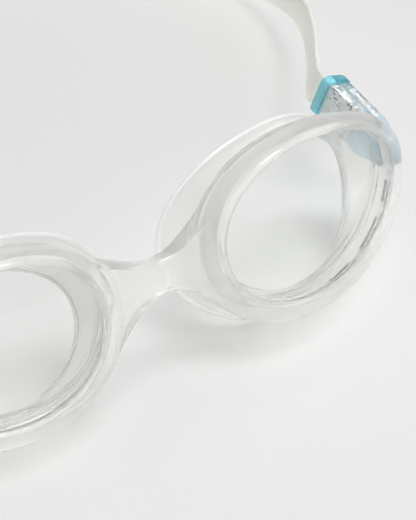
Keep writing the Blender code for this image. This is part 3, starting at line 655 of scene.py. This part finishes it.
def seal_surface():
    """Rows round the middle of the skirt's thickness, from the collar to the rim."""
    collar = grown(OPENING, LENS_EDGE - SEAL_THICK / 2)
    front = egg_loop(collar, -RING_DEPTH - GAP, SEAL_TURNS)
    neck = egg_loop(collar, -RING_DEPTH - GAP - SEAL_THICK, SEAL_TURNS)
    throat = bowed_loop(THROAT, THROAT_DEPTH, SEAL_TURNS)
    rim = bowed_loop(RIM, RIM_DEPTH, SEAL_TURNS)
    rows = [front, neck] + [neck + (throat - neck) * share for share in NECK_SHARES]
    for share in np.linspace(0, 1, FLARE_ROWS):
        row = throat + (rim - throat) * share
        row[:, 1] = throat[:, 1] + (rim[:, 1] - throat[:, 1]) * (1 - (1 - share) ** 2)
        rows.append(row)
    grid = np.array(rows)
    for _ in range(SMOOTHINGS):
        grid[2:-1] = (grid[1:-2] + 2 * grid[2:-1] + grid[3:]) / 4
    return grid


def face_seal():
    grid = seal_surface()
    rows = len(grid)
    around = np.roll(grid, -1, 1) - np.roll(grid, 1, 1)
    normal = unit(np.cross(np.gradient(grid, axis=0), around))
    thick = np.interp(np.linspace(0, 1, rows), THICK_AT, THICK_MM) * MM
    half = normal * thick[:, None, None] / 2
    edge = grid[-1] + unit(grid[-1] - grid[-2]) * RIM_ROUND
    loops = [*(grid + half), edge, *(grid - half)[::-1]]
    points = moved(np.vstack(loops), CUP)
    height = points[:, 2]
    eased_up = TABLE_EASE * np.exp(np.minimum(height - TABLE_EASE, 0) / TABLE_EASE)
    points[:, 2] = np.where(height < TABLE_EASE, eased_up, height)
    faces = grid_faces(len(loops), SEAL_TURNS, closed_rows=True)
    left = piece("left_seal_skirt", points, faces)
    right = mirrored(left, "right_seal_skirt")
    # The bead along the rim, and a line round the throat on both skins, painted whiter and milkier:
    # a painted highlight where these edges catch the light
    throat_back = 2 * rows - THROAT_ROW
    highlight_rows = [*range(rows - 2, rows + 2), THROAT_ROW - 1, THROAT_ROW, throat_back - 1, throat_back]
    highlight_faces = [row * SEAL_TURNS + i for row in highlight_rows for i in range(SEAL_TURNS)]
    for obj, side in ((left, "left"), (right, "right")):
        finish_piece(obj, SEAL_CLEAR, "root", [f"{side}_face_seal"])
        # The rim bead and throat line get the painted highlight
        paint(obj, SEAL_RIM_HIGHLIGHT, highlight_faces)


# Head strap: a flat band in two halves that meet behind the head
STRAP_STEPS = 10
STRAP_LOWEST = STRAP_WIDTH / 2  # the middle's height where the band stands on the table
STRAP_CORNER, CORNER_STEPS = 0.55 * MM, 4
WIDE_SPAN, SPAN_SHARES = 2 * MM, (0.25, 0.5, 0.75)  # sides longer than this get points between


def strap_route():
    """(place, up) along the left half, from its end in the clip to the middle of the back."""
    clip_up, table_up = np.array(CLIP.col[2][:3]), np.array([0.0, 0.0, 1.0])
    held_at = (TAIL_END, CLIP_REACH, CLIP_REACH + STRAP_LEAD)
    held = [np.array(CLIP @ Vector((STRAP_MIDDLE, y, 0))) for y in held_at]
    route = [(place, clip_up) for place in held]
    leave = held[-1]
    drop = leave[2] - STRAP_LOWEST
    for i, (out, back, down) in enumerate(STRAP_OUTWARD):
        place = leave + np.array([STRAP_BULGE * out, STRAP_REACH * back, -drop * down])
        share = (i + 1) / len(STRAP_OUTWARD)
        route.append((place, clip_up * (1 - share) + table_up * share))
    widest = leave[0] + STRAP_BULGE
    for out, back, down in STRAP_AROUND:
        place = [widest * out, leave[1] + STRAP_REACH * back, leave[2] - drop * down]
        route.append((np.array(place), table_up))
    route.append((np.array([0, leave[1] + STRAP_REACH, STRAP_LOWEST]), table_up))
    return route


def strap_frames():
    """Places along the left half, with the directions of its thickness and width."""
    places, ups = zip(*strap_route())
    line = [places[0], *places, places[-2] * FLIP_X]
    out, out_up = [], []
    for i in range(1, len(line) - 2):
        before, a, b, after = line[i - 1 : i + 3]
        for t in np.arange(STRAP_STEPS) / STRAP_STEPS:
            h1, h2, h3, h4 = hermite(t)
            place = a * h1 + (b - before) / 2 * h2 + b * h3 + (after - a) / 2 * h4
            place[2] = max(place[2], STRAP_LOWEST)
            out.append(place)
            out_up.append(ups[i - 1] * (1 - t) + ups[i] * t)
    out, out_up = np.array(out + [places[-1]]), np.array(out_up + [ups[-1]])
    ahead = np.vstack([out[1:], out[-2] * FLIP_X])
    behind = np.vstack([out[0], out[:-1]])
    along = unit(ahead - behind)
    thick = unit(np.cross(along, out_up))
    return out, thick, np.cross(thick, along)


def strap_section():
    """(thickness, width) round the band's rounded section."""
    flat_thick, flat_wide = STRAP_THICK / 2 - STRAP_CORNER, STRAP_WIDTH / 2 - STRAP_CORNER
    section = []
    for quarter, (t_sign, w_sign) in enumerate(((1, 1), (-1, 1), (-1, -1), (1, -1))):
        for i in range(CORNER_STEPS + 1):
            a = math.pi / 2 * (quarter + i / CORNER_STEPS)
            thick = t_sign * flat_thick + STRAP_CORNER * math.cos(a)
            wide = w_sign * flat_wide + STRAP_CORNER * math.sin(a)
            section.append((thick, wide))
    spans = []
    for (t1, w1), (t2, w2) in zip(section, section[1:] + section[:1]):
        spans.append((t1, w1))
        if abs(w2 - w1) > WIDE_SPAN:
            spans += [(t1 + (t2 - t1) * s, w1 + (w2 - w1) * s) for s in SPAN_SHARES]
    return spans


def head_strap():
    places, thick, wide = strap_frames()
    section = strap_section()
    rows = [[p + t * a + w * b for a, b in section] for p, t, w in zip(places, thick, wide)]
    points = np.array(rows).reshape(-1, 3)
    faces = grid_faces(len(rows), len(section)) + end_caps(len(rows), len(section))
    left = piece("left_strap_half", points, faces, STRAP_SHARP)
    right = mirrored(left, "right_strap_half")
    for obj, side, flip in ((left, "left", 1), (right, "right", -1)):
        finish_piece(obj, STRAP, None, ["head_strap"])
        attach(obj, "root")
        obj.parent = None
        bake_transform(obj)


# Hard pieces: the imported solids' shapes with their edges eased
FLAT_ANGLE, BEVEL_ANGLE, BEVEL_SEGMENTS = 1.0, 35, 2  # angles in degrees
HARD = (  # node, piece, width of the eased edge, material
    ("temple_anchor", "anchor_plate", 0.15 * MM, ANCHOR_PAINTED_REFRACTION),
    ("pivot_rivet", "rivet_head", 0.12 * MM, RIVET_BLUE),
    ("clip_base", "clip_tray", 0.10 * MM, HARD_CLEAR),
    ("clip_cover", "clip_lid", 0.10 * MM, COVER_PALE),
    ("release_lever", "lever_arm", 0.08 * MM, LEVER_CLEAR),
    ("lever_pin", "pin_wire", 0.05 * MM, STEEL),
)
HOOP_START = MOUTH_START - GAP


def eased(node, name, width, material):
    source = frame["nodes"][node]
    mesh = source.data.copy()
    mesh.name = name
    bm = bmesh.new()
    bm.from_mesh(mesh)
    bmesh.ops.remove_doubles(bm, verts=bm.verts, dist=CAD_WELD)
    flat = math.radians(FLAT_ANGLE)
    bmesh.ops.dissolve_limit(bm, angle_limit=flat, verts=bm.verts, edges=bm.edges)
    bmesh.ops.recalc_face_normals(bm, faces=bm.faces)
    bm.to_mesh(mesh)
    bm.free()
    obj = add_object(name, mesh)
    bevel = obj.modifiers.new("ease", "BEVEL")
    bevel.width, bevel.segments, bevel.limit_method = width, BEVEL_SEGMENTS, "ANGLE"
    bevel.angle_limit, bevel.use_clamp_overlap = math.radians(BEVEL_ANGLE), True
    bake_modifiers(obj)
    shade(obj.data, HARD_SHARP)
    finish_piece(obj, material, source["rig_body"], [node])
    return obj


def tint_hoop(lid, clip):
    """The hoop round the strap is teal; its thin leg on the head's side is painted paler, painted
    light for the light shining through it.
    """
    hoop = faces_where(lid, clip, lambda x, y, z: y > HOOP_START)
    leg = faces_where(lid, clip, lambda x, y, z: y > HOOP_START and x < STRAP_MIDDLE)
    paint(lid, COVER_TEAL, hoop)
    paint(lid, COVER_LEG_PAINTED_LIGHT, leg)


def paint_hub_light(tray, clip):
    """The tray's round end at the pivot is painted milky and mottled blue: painted light to
    brighten it, and painted refraction of blue.
    """
    paint(tray, HUB_PAINTED_LIGHT, faces_where(tray, clip, lambda x, y, z: y < ANCHOR_HALF_HEIGHT))


def hard_pieces():
    for side, clip in (("left", CLIP), ("right", MIRROR @ CLIP)):
        for node, name, width, material in HARD:
            obj = eased(f"{side}_{node}", f"{side}_{name}", width, material)
            if name == "clip_lid":
                tint_hoop(obj, clip)
            if name == "clip_tray":
                paint_hub_light(obj, clip)


# Stage
CAMERA_AZIMUTH, CAMERA_ELEVATION = math.radians(-31.42), math.radians(46.02)
CAMERA_PLACE = Vector((-138.2, -245.8, 299.3)) * MM + Vector((0, SHIFT.y, SHIFT.z))
SENSOR, FOCAL_PIXELS, LONG_SIDE_PIXELS = 36, 1747.7, 520
CAMERA_LENS = FOCAL_PIXELS / LONG_SIDE_PIXELS * SENSOR
CAMERA_NEAR, CAMERA_FAR = 0.01, 20
WORLD_LIGHT, WORLD_SEEN = 0.33, 0.74
FLOOR_RADIUS, FLOOR_TURNS = 4, 64
LAMPS = (  # name, place, target, width and height, watts
    ("key_softbox", (0.16, -0.35, 1.27), (0, -0.05, 0), (0.45, 0.45), 8.5),
    ("fill_softbox", (0.95, 0.05, 0.75), (0, -0.05, 0), (0.8, 0.6), 2.4),
    ("front_softbox", (-0.12, -1.10, 0.62), (0, -0.05, 0.02), (0.8, 0.5), 2.2),
)


def camera():
    data = bpy.data.cameras.new("camera")
    data.lens, data.sensor_width, data.sensor_fit = CAMERA_LENS, SENSOR, "AUTO"
    data.clip_start, data.clip_end = CAMERA_NEAR, CAMERA_FAR
    obj = add_object("camera", data)
    az, el = CAMERA_AZIMUTH, CAMERA_ELEVATION
    right = Vector((math.cos(az), math.sin(az), 0))
    back = Vector((math.sin(az) * math.cos(el), -math.cos(az) * math.cos(el), math.sin(el)))
    up = back.cross(right)
    rotation = Matrix((right, up, back)).transposed().to_4x4()
    obj.matrix_world = Matrix.Translation(CAMERA_PLACE) @ rotation
    SCENE.camera = obj


def lamp(name, place, target, size, power):
    data = bpy.data.lights.new(name, "AREA")
    data.shape, data.energy = "RECTANGLE", power
    data.size, data.size_y = size
    obj = add_object(name, data)
    obj.location = place
    obj.rotation_euler = (Vector(target) - Vector(place)).to_track_quat("-Z", "Y").to_euler()


def studio_world():
    """Even light all round, brighter where it is seen, in gloss and through clear plastic."""
    world = bpy.data.worlds.new("studio")
    SCENE.world = world
    world.use_nodes = True
    tree = world.node_tree
    shader = tree.nodes["Background"]
    path = tree.nodes.new("ShaderNodeLightPath")
    seen = path.outputs["Is Camera Ray"]
    for name in ("Is Glossy Ray", "Is Transmission Ray"):
        join = tree.nodes.new("ShaderNodeMath")
        join.operation = "MAXIMUM"
        tree.links.new(seen, join.inputs[0])
        tree.links.new(path.outputs[name], join.inputs[1])
        seen = join.outputs["Value"]
    strength = tree.nodes.new("ShaderNodeMapRange")
    strength.inputs["To Min"].default_value = WORLD_LIGHT
    strength.inputs["To Max"].default_value = WORLD_SEEN
    tree.links.new(seen, strength.inputs["Value"])
    tree.links.new(strength.outputs["Result"], shader.inputs["Strength"])
    shader.inputs["Color"].default_value = (1.0, 1.0, 1.0, 1.0)


def stage():
    ring = [(FLOOR_RADIUS * math.cos(a), FLOOR_RADIUS * math.sin(a), 0) for a in turns(FLOOR_TURNS)]
    faces = [(i, (i + 1) % FLOOR_TURNS, FLOOR_TURNS) for i in range(FLOOR_TURNS)]
    floor = piece("floor", ring + [(0, 0, 0)], faces)
    floor.data.materials.append(floor_paper())
    for row in LAMPS:
        lamp(*row)
    studio_world()
    SCENE.view_settings.view_transform = "Standard"
    SCENE.cycles.transmission_bounces = 16
    SCENE.cycles.transparent_max_bounces = 24
    SCENE.cycles.max_bounces = 18


camera()
soft_frame()
lens()
face_seal()
head_strap()
hard_pieces()
stage()
